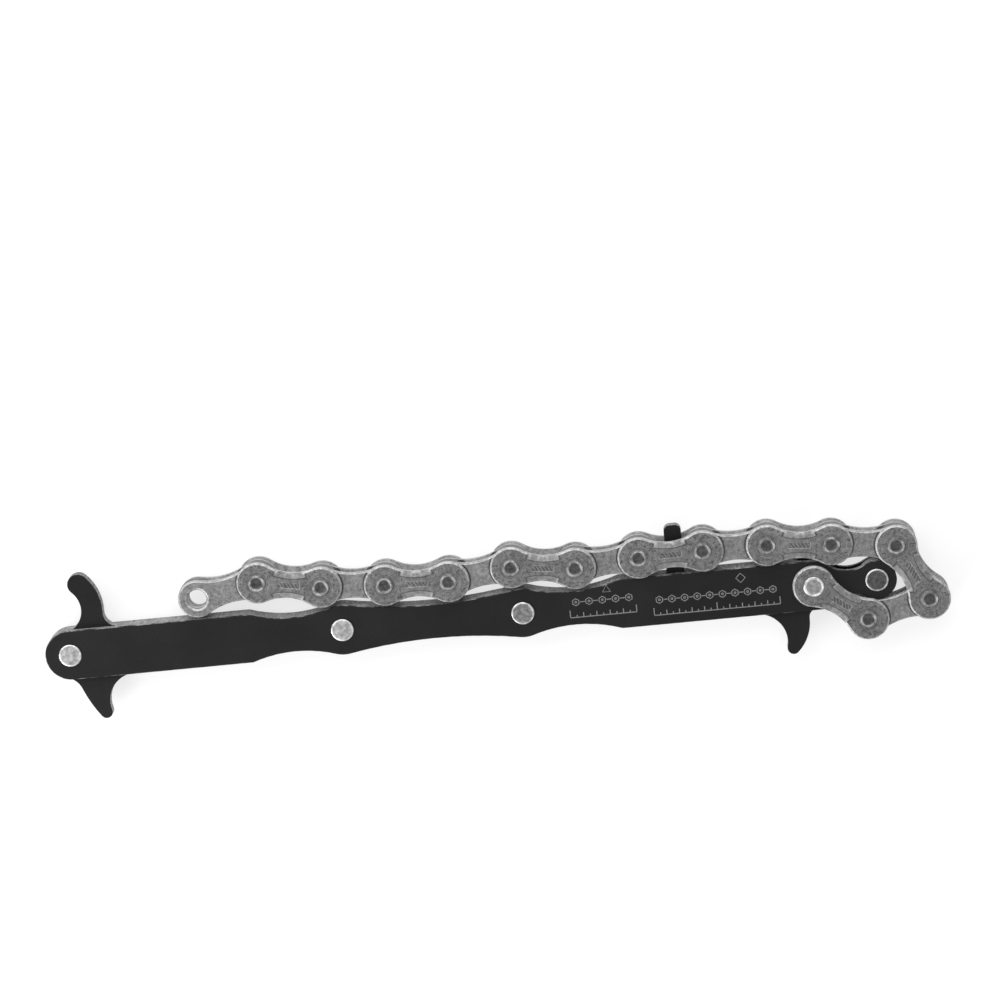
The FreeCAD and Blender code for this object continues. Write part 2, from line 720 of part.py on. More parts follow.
def hook_plate():
    """The middle layer, which carries the claw, both hooks and the peg."""
    body = new_body("hook_plate")
    sketch = bar_outline(Outline(body, "hook_plate_outline"), hook_layer=True)
    plate = pad(body, sketch, "sizes.hook_plate_thickness", True)
    mirrored(body, [plate])
    claw(body)
    hook(body, "left_hook", "left_hook_x", "left_hook_edge", 1)
    hook(body, "right_hook", "right_hook_x", "right_hook_edge", -1)
    peg(body)
    bar_holes(body, end_too=False)
    return body


def rivet(name, station, dished):
    """A bar rivet: its shank fills the holes of all three layers, and its heads clinch the
    side plates. Some have a shallow dish in the head."""
    half = BAR_HALF
    head = "sizes.rivet_head_diameter / 2"
    top = f"({half} + sizes.rivet_head_height)"
    profile = [("0", top), (f"{head} - sizes.bar_edge", top),
               (head, f"{top} - sizes.bar_edge"), (head, half),
               ("sizes.rivet_diameter / 2", half)]
    if dished:
        dish = "sizes.rivet_dish_diameter / 2"
        floor = f"{top} - sizes.rivet_dish_depth"
        profile[:1] = [("0", floor), (f"{dish} - sizes.rivet_dish_depth", floor), (dish, top)]
    return revolved(name, both_ends(profile), Placement(Vector(plain(station), 0, 0), Rotation()))


def end_roller():
    """The roller between the side plates at the end of the bar. It takes a sprocket tooth
    gap, one pitch from the chain's pivot."""
    half = "(sizes.hook_plate_thickness / 2 - sizes.side_gap)"
    return ring("end_roller", half, "sizes.rivet_diameter / 2 + sizes.running_gap",
                Vector(size("end_pin_x"), 0, 0))


# ---------------------------------------------------------------- the chain
def ring(name, half_width, bore, where):
    outer = "sizes.roller_diameter / 2"
    low = f"{half_width} - sizes.bar_edge"
    profile = [(bore, half_width), (f"{outer} - sizes.bar_edge", half_width), (outer, low)]
    return revolved(name, both_ends(profile), Placement(where, Rotation()))


def chain_pin_profile():
    top = f"({OUTER_FACE} + sizes.outer_plate_thickness + sizes.pin_overhang)"
    radius = "sizes.pin_diameter / 2"
    dimple = "sizes.pin_dimple_diameter / 2"
    floor = f"{top} - sizes.pin_dimple_depth"
    return both_ends([("0", floor), (f"{dimple} - sizes.pin_dimple_depth", floor),
                      (dimple, top), (f"{radius} - sizes.pin_overhang", top),
                      (radius, f"{top} - sizes.pin_overhang")])


def pivot_pin_profile():
    """The pivot pin is a rivet with heads over the first link's plates."""
    face = f"({OUTER_FACE} + sizes.outer_plate_thickness)"
    top = f"({face} + sizes.pin_overhang)"
    head = "sizes.pivot_head_diameter / 2"
    dish = "sizes.pin_diameter / 2 - sizes.pin_overhang"
    floor = f"({top} - sizes.rivet_dish_depth)"
    return both_ends([("0", floor), (f"{dish} - sizes.rivet_dish_depth", floor),
                      (dish, top), (f"{head} - sizes.pin_overhang / 2", top),
                      (head, f"{top} - sizes.pin_overhang / 2"), (head, face),
                      ("sizes.pin_diameter / 2", face)])


def link_place(number, front, height):
    """Where a link's plate goes: its middle between two pins, along the link, and turned
    over about its length if it is a back plate."""
    here = PINS[number - 1]
    there = PINS[number]
    way = there - here
    lengthwise = Rotation(Vector(0, 0, 1), math.degrees(math.atan2(way.y, way.x)))
    over = Rotation() if front else Rotation(Vector(1, 0, 0), 180)
    middle = (here + there) * 0.5
    middle.z = height if front else -height
    return Placement(middle, lengthwise.multiply(over))


def link_outline(outline, end_radius, waist, sign):
    """Half of a link plate's outline: two round ends and the waist between them."""
    half = size("pitch") / 2
    radius = plain(end_radius)
    narrow = plain(waist)
    hollow = (half ** 2 - radius ** 2 + narrow ** 2) / (2 * (radius - narrow))
    centre = Vector(0, narrow + hollow, 0)
    left = Vector(-half, 0, 0)
    right = Vector(half, 0, 0)
    outline.start(-half - radius, 0)
    touch = towards(left, centre, radius)
    left_arc = outline.arc(left, touch.x, touch.y, clockwise=True)
    touch = towards(right, centre, radius)
    waist_arc = outline.arc(centre, touch.x, touch.y, smooth=True)
    right_arc = outline.arc(right, half + radius, 0, clockwise=True, smooth=True)
    outline.line(-half - radius, 0)
    outline.close()
    middle = outline.sketch.addGeometry(Part.Point(Vector(0, narrow, 0)), True)
    outline.hold("PointOnObject", middle, 1, -2)
    outline.hold("PointOnObject", middle, 1, waist_arc)
    outline.bind("DistanceY", -1, 1, middle, 1, waist)
    for arc in (left_arc, right_arc):
        outline.hold("PointOnObject", arc, 3, -1)
        outline.bind("Radius", arc, end_radius)
    outline.bind("DistanceX", left_arc, 3, -1, 1, "sizes.pitch / 2")
    outline.bind("DistanceX", -1, 1, right_arc, 3, "sizes.pitch / 2")
    outline.hold("PointOnObject", left_arc, outline.edges[0][1], -1)
    outline.hold("PointOnObject", right_arc, 1, -1)
    return outline.sketch


def two_circles(body, name, radii):
    """Circles round both pin axes of a link, in a sketch of their own."""
    outline = Outline(body, f"{body.Name}_{name}")
    for radius in radii:
        for side in (-1, 1):
            circle = outline.circle(side * size("pitch") / 2, 0, plain(radius))
            outline.bind("Radius", circle, radius)
            outline.hold("PointOnObject", circle, 3, -1)
            ends = (circle, 3, -1, 1) if side < 0 else (-1, 1, circle, 3)
            outline.bind("DistanceX", *ends, "sizes.pitch / 2")
    return outline.sketch


def link_plate_blank(name, kind):
    """A link plate with its outer face up and both outer edges broken."""
    body = new_body(name)
    sketch = link_outline(Outline(body, f"{name}_outline"), f"sizes.{kind}_plate_end_radius",
                          f"sizes.{kind}_plate_waist", 1)
    plate = pad(body, sketch, f"sizes.{kind}_plate_thickness")
    mirrored(body, [plate])
    document.recompute()
    top = size(f"{kind}_plate_thickness")
    edges = edges_where(body.Tip.Shape, lambda edge: lies_at(edge, top))
    chamfer(body, body.Tip, edges, f"sizes.{kind}_plate_edge")
    return body


def inner_plate(name, number, front):
    """An inner link plate, with a collar round each hole that carries half of a roller."""
    body = link_plate_blank(name, "inner")
    bore = "sizes.pin_diameter / 2 + sizes.running_gap"
    collars = two_circles(body, "collars", ["sizes.collar_diameter / 2"])
    collar = pad(body, collars, f"{INNER_FACE} - sizes.collar_meeting_gap / 2", name="collar")
    collar.Reversed = True
    cut_through(body, two_circles(body, "bores", [bore]))
    body.Placement = link_place(number, front, inner_face)
    return body


def outer_plate(name, number, front):
    """An outer link plate that the pins fill, with a coined bevel along each waist."""
    body = link_plate_blank(name, "outer")
    cut_through(body, two_circles(body, "pin_holes", ["sizes.pin_diameter / 2"]))
    radius = size("outer_plate_end_radius")
    narrow = size("outer_plate_waist")
    half = size("pitch") / 2
    hollow = (half ** 2 - radius ** 2 + narrow ** 2) / (2 * (radius - narrow))
    top = size("outer_plate_thickness")
    width = size("waist_bevel_width")
    depth = size("waist_bevel_depth")
    clear = 0.5
    outline = Outline(body, f"{name}_bevel", "YZ_Plane").start(narrow - width, top)
    slope = outline.line(narrow + clear, top - depth * (width + clear) / width)
    outer = outline.line(narrow + clear, top + clear)
    lid = outline.line(narrow - width, top + clear)
    inner = outline.line(narrow - width, top)
    outline.close()
    outline.hold("Vertical", outer)
    outline.hold("Vertical", inner)
    outline.hold("Horizontal", lid)
    outline.bind("DistanceX", -1, 1, slope, 1, "sizes.outer_plate_waist - sizes.waist_bevel_width")
    outline.bind("DistanceY", -1, 1, slope, 1, "sizes.outer_plate_thickness")
    axis = outline.sketch.addGeometry(
        Part.LineSegment(Vector(narrow + hollow, 0, 0), Vector(narrow + hollow, top, 0)), True)
    outline.hold("Vertical", axis)
    outline.hold("PointOnObject", axis, 1, -1)
    groove = body.newObject("PartDesign::Groove", f"{name}_waist_bevel")
    groove.Profile = outline.sketch
    groove.ReferenceAxis = (outline.sketch, ["Axis0"])
    groove.setExpression("Angle", "sizes.waist_bevel_angle")
    groove.Midplane = True
    mirrored(body, [groove], name="second_bevel")
    body.Placement = link_place(number, front, outer_face)
    return body


def link_pins(name, number):
    """Both pins of an outer link, one pitch apart."""
    first = PINS[number - 1]
    way = PINS[number] - first
    lengthwise = Rotation(Vector(0, 0, 1), math.degrees(math.atan2(way.y, way.x)))
    body = revolved(name, chain_pin_profile(), Placement(first, lengthwise))
    pattern = body.newObject("PartDesign::LinearPattern", f"{name}_pair")
    pattern.Originals = [body.Tip]
    pattern.Direction = (origin_feature(body, "X_Axis"), [""])
    pattern.setExpression("Length", "sizes.pitch")
    pattern.Occurrences = 2
    body.Tip = pattern
    return body


def chain():
    """Fourteen links: outer links have odd numbers, inner links even ones, and the inner link
    at the free end has an open bore."""
    pieces = []
    for number in range(1, LINKS + 1):
        plate = outer_plate if number % 2 else inner_plate
        for front in (True, False):
            side = "front" if front else "back"
            pieces.append(plate(f"link_{number:02}_{side}_plate", number, front))
        if number % 2 and number > 1:
            pieces.append(link_pins(f"link_{number:02}_pins", number))
    pieces.append(revolved("pivot_pin", pivot_pin_profile(), Placement(PINS[0], Rotation())))
    pieces.append(revolved("link_01_pin", chain_pin_profile(), Placement(PINS[1], Rotation())))
    bore = "sizes.collar_diameter / 2 + sizes.running_gap"
    for number, where in enumerate(PINS[1:], 2):
        pieces.append(ring(f"roller_{number:02}", f"({INNER_FACE} - sizes.side_gap)", bore, where))
    return pieces


def bar():
    return [side_plate("front_side_plate", True), side_plate("back_side_plate", False),
            hook_plate(),
            rivet("handle_rivet", "0", False),
            rivet("middle_rivet", "sizes.middle_rivet_x", False),
            rivet("body_rivet", "sizes.body_rivet_x", True),
            rivet("end_roller_pin", "sizes.end_pin_x", True),
            end_roller()]


# ---------------------------------------------------------------- build, check, write
def fault(item):
    return {"Invalid", "Error"} & set(item.State)


document.recompute()
pieces = bar() + chain()
document.recompute()
faults = [f"{item.Name} is {item.State}" for item in document.Objects if fault(item)]
if faults:
    raise SystemExit("\n".join(faults))

box = FreeCAD.BoundBox()
for piece in pieces:
    box.add(piece.Shape.BoundBox)
base = Vector(box.Center.x, box.Center.y, box.ZMin)
for piece in pieces:
    piece.Placement = Placement(-base, Rotation()).multiply(piece.Placement)
document.recompute()

os.makedirs("parts", exist_ok=True)
for piece in pieces:
    shape = piece.Shape
    if fault(piece) or shape.isNull() or not shape.isValid():
        raise SystemExit(f"{piece.Label} has no sound shape")
    shape.exportStep(f"parts/{piece.Label}.step")
print(f"{len(pieces)} pieces, {box.XLength:.2f} x {box.YLength:.2f} x {box.ZLength:.2f} mm")
print("bar frame's origin at", [round(value, 6) for value in -base])
for number, pin in enumerate(PINS, 1):
    print("pin", number, round(pin.x - base.x, 6), round(pin.y - base.y, 6))
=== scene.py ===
"""A bicycle chain tool: a riveted black bar with a claw, a peg and two hooks, and a roller
chain on a pivot near its end. Lengths are in metres unless a comment says otherwise."""

import json
import math

import bpy
from mathutils import Matrix, Vector


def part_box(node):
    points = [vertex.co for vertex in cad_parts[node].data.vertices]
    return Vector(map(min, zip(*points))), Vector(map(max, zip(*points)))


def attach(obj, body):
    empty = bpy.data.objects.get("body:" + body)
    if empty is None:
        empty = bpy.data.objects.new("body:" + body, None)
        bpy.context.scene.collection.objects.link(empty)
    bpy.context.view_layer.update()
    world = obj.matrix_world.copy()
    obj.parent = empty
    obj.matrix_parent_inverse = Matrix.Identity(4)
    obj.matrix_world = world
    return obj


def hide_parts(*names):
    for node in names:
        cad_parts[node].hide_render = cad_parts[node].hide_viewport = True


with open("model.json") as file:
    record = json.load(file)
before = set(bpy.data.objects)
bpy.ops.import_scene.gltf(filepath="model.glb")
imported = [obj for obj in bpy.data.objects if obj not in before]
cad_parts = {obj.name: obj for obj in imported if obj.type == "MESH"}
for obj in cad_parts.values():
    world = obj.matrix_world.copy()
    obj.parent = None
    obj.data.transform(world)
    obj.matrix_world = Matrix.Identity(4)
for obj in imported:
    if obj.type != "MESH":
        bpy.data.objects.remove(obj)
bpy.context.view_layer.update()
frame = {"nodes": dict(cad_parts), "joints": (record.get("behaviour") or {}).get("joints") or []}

MM = 0.001
MERGE = 0.0005 * MM  # corners that lie closer than this are one corner
REAL_EDGE = math.radians(28)  # an edge that turns less than this is part of a curved face

HINGES = {joint["name"]: Vector(joint["pos_m"]) for joint in frame["joints"]}
LINKS = sum(name.startswith("link_") for name in HINGES)
PINS = [HINGES[f"link_{n:02}_hinge"] for n in range(1, LINKS + 1)]
PINS.append(HINGES[f"roller_{LINKS + 1:02}_spin"])

# The rest are in millimetres, as all profiles and patterns are.
HALF_PITCH = (PINS[1] - PINS[0]).length / 2 / MM
MIDDLE = (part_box("hook_plate")[0].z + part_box("hook_plate")[1].z) / 2 / MM
PIN_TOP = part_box("link_03_pins")[1].z / MM
RIVET_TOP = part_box("handle_rivet")[1].z / MM
SIDE_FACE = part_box("front_side_plate")[1].z / MM
LINK_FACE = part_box("link_03_front_plate")[1].z / MM
PIN_RADIUS = 1.8
EYE_EDGE = 4.15  # the radius of an outer plate's eye
WAIST_CENTRE = 12.23  # of an outer plate's waist, from the plate's own middle
STRIP_EDGE = 10.78  # the inner edge of the coined strip, from that centre
STAMP_LENGTH = 4.4  # of the oblong pressed into an outer plate
STAMP_WIDTH = 1.2
HATCH_SPACING = 0.72  # of the dark lines across it


# ---------------------------------------------------------------- modelling helpers
def only(*pieces):
    """Select these pieces and nothing else, the last one active."""
    bpy.ops.object.select_all(action="DESELECT")
    for piece in pieces:
        piece.select_set(True)
    bpy.context.view_layer.objects.active = pieces[-1]


def modify(piece, kind, **settings):
    """Add a modifier, set it up and apply it."""
    only(piece)
    modifier = piece.modifiers.new(kind.title(), kind)
    for name, value in settings.items():
        setattr(modifier, name, value)
    bpy.ops.object.modifier_apply(modifier=modifier.name)


def fix_place(piece):
    """Put a piece's place into its mesh, so that its object sits at the origin."""
    only(piece)
    bpy.ops.object.transform_apply(location=True, rotation=True, scale=True)


def shade_smooth(piece, degrees):
    """Shade a piece smooth over every edge that turns less than this."""
    only(piece)
    bpy.ops.object.shade_smooth_by_angle(angle=math.radians(degrees))


def round_off(piece, width, segments=2, smooth=50):
    """Round every real edge and shade the curved faces smooth."""
    modify(piece, "BEVEL", width=width, segments=segments, limit_method="ANGLE",
           angle_limit=REAL_EDGE, use_clamp_overlap=True)
    shade_smooth(piece, smooth)
    modify(piece, "WEIGHTED_NORMAL", keep_sharp=True, weight=80)


def merged_copy(node, name):
    """A copy of a CAD node with its triangles joined into the faces that they make up."""
    piece = frame["nodes"][node].copy()
    piece.data = piece.data.copy()
    piece.name = piece.data.name = name
    piece.parent = None
    for key in list(piece.keys()):
        if key.startswith("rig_"):
            del piece[key]
    bpy.context.scene.collection.objects.link(piece)
    piece.matrix_world = Matrix.Identity(4)
    only(piece)
    bpy.ops.mesh.customdata_custom_splitnormals_clear()
    bpy.ops.object.mode_set(mode="EDIT")
    bpy.ops.mesh.select_all(action="SELECT")
    bpy.ops.mesh.remove_doubles(threshold=MERGE)
    bpy.ops.mesh.dissolve_limited(angle_limit=math.radians(0.5))
    bpy.ops.object.mode_set(mode="OBJECT")
    return piece


def copied(piece, name, matrix):
    """A copy with its own mesh, which is moved and not the object."""
    made = piece.copy()
    made.data = piece.data.copy()
    made.name = made.data.name = name
    bpy.context.scene.collection.objects.link(made)
    made.data.transform(matrix)
    return made


def joined(pieces, name):
    """Several pieces made one."""
    only(*pieces)
    if len(pieces) > 1:
        bpy.ops.object.join()
    whole = bpy.context.object
    whole.name = whole.data.name = name
    return whole


def note_places(piece, name, rule):
    """Give a piece a UV map that holds two numbers for every corner of its faces."""
    for layer in list(piece.data.uv_layers):
        piece.data.uv_layers.remove(layer)
    layer = piece.data.uv_layers.new(name=name)
    for loop in piece.data.loops:
        layer.data[loop.index].uv = rule(piece.data.vertices[loop.vertex_index].co)


def finish(piece, material, slot, body, *nodes):
    """Give a piece its material, hang it on the body and hide the nodes that it stands for."""
    piece.data.materials.clear()
    piece.data.materials.append(material)
    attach(piece, body)
    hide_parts(*nodes)


def centre_of(node):
    """The middle of a CAD node's box."""
    low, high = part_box(node)
    return (low + high) / 2


def top_of(piece):
    """The height of a piece's highest corner."""
    return max(corner.co.z for corner in piece.data.vertices)


def upright(where):
    """Takes a piece from the upright axis at the origin to the one through this place."""
    return Matrix.Translation((where.x, where.y, 0))


# ---------------------------------------------------------------- shader helpers
def connect(tree, place, value):
    """Give a socket its value, or link it to where the value comes from."""
    if isinstance(value, Term):
        tree.links.new(value.source, place)
    elif place.type == "RGBA" and isinstance(value, float):
        place.default_value = (value, value, value, 1)
    else:
        place.default_value = value


def add_node(tree, kind, inputs, output=0, stops=(), **settings):
    """Add a node, with its settings first and then the values or links of its sockets."""
    made = tree.nodes.new(kind)
    for name, value in settings.items():
        setattr(made, name, value)
    if stops:
        elements = made.color_ramp.elements
        while len(elements) < len(stops):
            elements.new(0.5)
        for element, (place, grey) in zip(elements, stops):
            element.position = place
            element.color = (grey, grey, grey, 1)
    for place, value in inputs.items():
        connect(tree, made.inputs[place], value)
    return Term(tree, made.outputs[output])


class Term:
    """A socket in a shader's arithmetic."""

    def __init__(self, tree, source):
        self.tree = tree
        self.source = source

    def worked(self, operation, *others):
        """This value, or this and another, put through a Math node."""
        inputs = dict(enumerate((self, *others)))
        return add_node(self.tree, "ShaderNodeMath", inputs, operation=operation)

    def __add__(self, other):
        return self.worked("ADD", other)

    def __sub__(self, other):
        return self.worked("SUBTRACT", other)

    def __rsub__(self, other):
        inputs = {0: other, 1: self}
        return add_node(self.tree, "ShaderNodeMath", inputs, operation="SUBTRACT")

    def __mul__(self, other):
        return self.worked("MULTIPLY", other)

    def __truediv__(self, other):
        return self.worked("DIVIDE", other)

    def __abs__(self):
        return self.worked("ABSOLUTE")

    __radd__ = __add__
    __rmul__ = __mul__

    def root(self):
        return self.worked("SQRT")

    def most(self, other):
        """The greater of this and another value."""
        return self.worked("MAXIMUM", other)

    def step(self, low, high):
        """0 below low, 1 above high, and smooth between."""
        inputs = {"Value": self, "From Min": low, "From Max": high}
        return add_node(self.tree, "ShaderNodeMapRange", inputs,
                        interpolation_type="SMOOTHSTEP")

    def band(self, low, high, soft):
        """1 between low and high, with soft ends."""
        return self.step(low - soft, low + soft) * (1 - self.step(high - soft, high + soft))


class Finish:
    """A material under construction."""

    def __init__(self, name):
        self.material = bpy.data.materials.new(name)
        self.material.use_nodes = True
        self.tree = self.material.node_tree

    def node(self, kind, inputs, **settings):
        return add_node(self.tree, kind, inputs, **settings)

    def upwards(self):
        """How far a face looks up the tool's thickness, from -1 to 1."""
        normal = self.node("ShaderNodeTexCoord", {}, output="Normal")
        return self.node("ShaderNodeSeparateXYZ", {0: normal}, output="Z")

    def facing(self):
        """How far a face looks up or down the tool's thickness, from 0 to 1."""
        return abs(self.upwards())

    def inward(self):
        """1 on faces that look towards the middle of the tool's thickness."""
        place = self.node("ShaderNodeTexCoord", {}, output="Object")
        height = self.node("ShaderNodeSeparateXYZ", {0: place}, output="Z")
        outward = (height / MM - MIDDLE) * self.upwards()
        return 1 - outward.step(-0.2, 0.0)

    def noise(self, size, detail=2.0, rough=0.5, stretch=(1, 1, 1)):
        """Noise whose grain is about this many metres across."""
        where = self.node("ShaderNodeTexCoord", {}, output="Object")
        where = self.node("ShaderNodeMapping", {"Vector": where, "Scale": stretch})
        inputs = {"Vector": where, "Scale": 1 / size, "Detail": detail, "Roughness": rough}
        return self.node("ShaderNodeTexNoise", inputs)

    def greys(self, factor, *stops):
        """A grey that follows a factor through (place, grey) stops."""
        return self.node("ShaderNodeValToRGB", {0: factor}, stops=stops)

    def mix(self, factor, first, second, blend="MIX"):
        """The first colour where the factor is 0, and the second where it is 1."""
        inputs = {0: factor, 6: first, 7: second}
        return self.node("ShaderNodeMix", inputs, output=2, data_type="RGBA",
                         blend_type=blend)

    def bump(self, height, depth):
        return self.node("ShaderNodeBump", {"Height": height, "Distance": depth})

    def written(self, name):
        """The two numbers that the piece's own map of this name holds."""
        places = self.node("ShaderNodeUVMap", {}, uv_map=name)
        return [self.node("ShaderNodeSeparateXYZ", {0: places}, output=axis) for axis in "XY"]

    def done(self, inputs):
        """The material, with these values or links on its shader."""
        shader = self.tree.nodes["Principled BSDF"]
        for name, value in inputs.items():
            connect(self.tree, shader.inputs[name], value)
        return self.material


# ---------------------------------------------------------------- finishes
def coated(name):
    """Satin black coating, worn through in patches along the rounded edges, and thin and
    streaky on the sheared walls, whose pale grey is partly thin coating and partly painted
    light."""
    black = 0.0105
    bare_and_lit_grey = 0.27
    made = Finish(name)
    facing = made.facing()
    cloud = made.noise(9 * MM, detail=3.0)
    grain = made.noise(0.35 * MM, detail=3.0, rough=0.65)
    patches = made.noise(1.6 * MM, detail=3.0)
    streaks = made.noise(0.4 * MM, stretch=(1, 1, 0.25))
    bare = facing.band(0.22, 0.93, 0.06) * patches.step(0.37, 0.77)
    wall = 1 - facing.step(0.1, 0.3)
    face = made.greys(cloud * 0.5 + grain * 0.5, (0.3, black * 0.7), (0.7, black * 1.5))
    # The walls are painted pale grey: partly the thin coating, partly painted light.
    sheared_and_lit = made.greys(streaks * 0.6 + cloud * 0.4,
                         (0.36, bare_and_lit_grey * 0.55), (0.6, bare_and_lit_grey * 1.5))
    return made.done({
        "Base Color": made.mix(bare, made.mix(wall, face, sheared_and_lit), bare_and_lit_grey),
        "Metallic": bare * 0.85 + wall * 0.35,
        "Roughness": 0.46 + grain * 0.14,
        "Specular IOR Level": 0.12,
        "Normal": made.bump(grain * 0.6 + patches * 0.4, 0.012 * MM)})


def link_steel(name, grey, rim_grey, strip_grey, stamped=0.0, shaded_eyes=0):
    """Dark grey chain steel: mottled faces, pale burnished rims and paler strips. Its walls are
    painted pale, partly bare steel and partly painted light, and faces that look inward are
    painted paler still, as painted light. A stamped plate also has a dark line of painted
    shade round its strips, faint rings and pits round its pins, and a hatched oblong. Painted
    shade lies round one eye or both where outer plates cover the eyes."""
    made = Finish(name)
    facing = made.facing()
    inward = made.inward()
    mottle = made.noise(0.8 * MM, detail=5.0, rough=0.65)
    cloud = made.noise(5.0 * MM)
    grain = made.noise(0.2 * MM)
    pits = made.noise(0.5 * MM, detail=1.0).step(0.56, 0.66)

    x, y = made.written("plate")
    along, across = abs(x), abs(y)
    past_pin = along - HALF_PITCH
    from_pin = (past_pin * past_pin + y * y).root()
    depth = WAIST_CENTRE - across
    from_waist = (x * x + depth * depth).root()
    slant = along / depth

    rim = facing.band(0.15, 0.93, 0.05)
    wall = 1 - facing.step(0.1, 0.3)
    flat = facing.step(0.975, 0.99) * (1 - inward)
    strip = facing.band(0.94, 0.978, 0.008) * (1 - slant.step(0.2, 0.335)) * (1 - wall)
    strip = strip * from_waist.step(STRIP_EDGE + 0.1, STRIP_EDGE - 0.9)

    # Painted shade: a dark line along each strip's inner edge and across its ends, where the
    # strip meets the face.
    side_line = (from_waist.band(STRIP_EDGE + 0.02, STRIP_EDGE + 0.2, 0.1)
                 * (1 - slant.step(0.3, 0.36)))
    end_line = (from_waist.band(STRIP_EDGE - 1.0, STRIP_EDGE + 0.15, 0.08)
                * slant.band(0.31, 0.345, 0.02))
    strip_edge_shade = side_line.most(end_line) * flat * stamped
    rings = from_pin.band(2.0, 2.2, 0.1) + from_pin.band(2.6, 2.7, 0.1) * 0.6
    rings = rings * flat * stamped
    pits = pits * from_pin.band(2.5, 3.9, 0.2) * flat * stamped
    oblong = ((1 - along.step(STAMP_LENGTH / 2 - 0.25, STAMP_LENGTH / 2 - 0.05))
              * (1 - across.step(STAMP_WIDTH / 2 - 0.18, STAMP_WIDTH / 2 - 0.02)))
    hatch = (x + y * 0.7 + mottle * 0.5) * (2 * math.pi / HATCH_SPACING)
    hatch = hatch.worked("SINE").step(-0.4, 0.5) * oblong * flat * stamped

    # Painted shade: a dark ring round an eye where an outer plate covers it, round one eye only
    # on the end link.
    eye_shade = 0.0
    if shaded_eyes:
        eye_shade = from_pin.band(EYE_EDGE - 0.4, EYE_EDGE + 0.3, 0.12) * facing.step(0.9, 0.97)
    if shaded_eyes == 1:
        eye_shade = eye_shade * (1 - x.step(-0.1, 0.1))

    tone = mottle * 0.6 + cloud * 0.2 + grain * 0.2
    face = made.greys(tone, (0.33, grey * 0.5), (0.67, grey * 1.5))
    face = made.mix(strip * cloud.step(0.42, 0.6), face, strip_grey)
    # Painted light: faces that look inward are painted much paler, as if lit through the gap
    # between the plates.
    painted_light_inner_face = made.greys(tone, (0.36, grey * 1.2), (0.64, grey * 3.8))
    face = made.mix(inward, face, painted_light_inner_face)
    burnished = made.mix(mottle.step(0.35, 0.65), rim_grey * 0.6, rim_grey * 1.15)
    # The walls are painted a flat pale grey: partly bare sheared steel, partly painted light.
    colour = made.mix(wall, made.mix(rim, face, burnished), 0.5)
    # The dark marks: the steel's rings, pits and hatching, with the painted shade round the
    # strips and round covered eyes.
    dark = (rings * 0.4).most(pits * 0.6).most(strip_edge_shade * 0.6).most(hatch * 0.6)
    dark = dark.most(eye_shade * 0.85)
    height = mottle * 0.6 + grain * 0.2 - rings * 0.7 - pits - hatch
    return made.done({
        "Base Color": made.mix(dark, colour, grey * 0.2),
        "Metallic": 1.0 - wall * 0.7 - inward * 0.75,
        "Roughness": 0.38 + mottle * 0.16 + rim * 0.12 + wall * 0.15,
        "Normal": made.bump(height, 0.016 * MM)})


def turned_steel(name, grey, lip_grey, hollow_grey, hollow, even=1.0):
    """Steel turned or peened: a pale lip, even or patchy, round a hollow of its own grey.
    The hollow's radius is in millimetres."""
    made = Finish(name)
    radius, _ = made.written("turning")
    mottle = made.noise(0.8 * MM, detail=4.0, rough=0.6)
    grain = made.noise(0.15 * MM)
    inside = 1 - radius.step(hollow - 0.08, hollow + 0.08)
    patches = made.noise(1.4 * MM, detail=1.0).step(0.42, 0.6) * (1 - even)
    lip = radius.band(hollow + 0.1, hollow + 0.42, 0.1) * (patches + even)
    shade = made.greys(mottle * 0.7 + grain * 0.3, (0.36, 0.42), (0.62, 1.0))
    colour = made.mix(inside, made.mix(lip, grey, lip_grey), hollow_grey)
    return made.done({
        "Base Color": made.mix(1.0, colour, shade, blend="MULTIPLY"),
        "Metallic": 1.0,
        "Roughness": 0.3 + mottle * 0.18,
        "Normal": made.bump(mottle * 0.6 + grain * 0.4, 0.03 * MM)})


def etched(name):
    """Pale grey marks burnt into the coating."""
    made = Finish(name)
    grain = made.noise(0.2 * MM, detail=3.0, rough=0.7)
    return made.done({
        "Base Color": made.greys(grain, (0.3, 0.12), (0.7, 0.27)),
        "Roughness": 0.7,
        "Specular IOR Level": 0.2})


SIDE_BLACK = coated("satin_black_side_plate")
HOOK_BLACK = coated("satin_black_hook_plate")
OUTER_STEEL = link_steel("stamped_outer_link_steel", grey=0.165, rim_grey=0.42,
                         strip_grey=0.19, stamped=1.0)
INNER_STEEL = link_steel("smooth_inner_link_steel", grey=0.2, rim_grey=0.36,
                         strip_grey=0.2, shaded_eyes=2)
END_STEEL = link_steel("open_end_link_steel", grey=0.2, rim_grey=0.4,
                       strip_grey=0.2, shaded_eyes=1)
ROLLER_STEEL = turned_steel("roller_steel", grey=0.2, lip_grey=0.3,
                            hollow_grey=0.12, hollow=2.4)
PIN_STEEL = turned_steel("peened_pin_steel", grey=0.17, lip_grey=0.5,
                         hollow_grey=0.1, hollow=1.15, even=0.3)
PIVOT_STEEL = turned_steel("bright_pivot_steel", grey=0.5, lip_grey=0.85,
                           hollow_grey=0.36, hollow=1.45)
BRIGHT_RIVET = turned_steel("bright_rivet_steel", grey=0.55, lip_grey=0.75,
                            hollow_grey=0.5, hollow=1.85)
GREY_RIVET = turned_steel("grey_rivet_steel", grey=0.5, lip_grey=0.7,
                          hollow_grey=0.27, hollow=1.92)
DARK_RIVET = turned_steel("dark_rivet_steel", grey=0.45, lip_grey=0.65,
                          hollow_grey=0.11, hollow=1.92)
ETCHED = etched("etched_mark_grey")


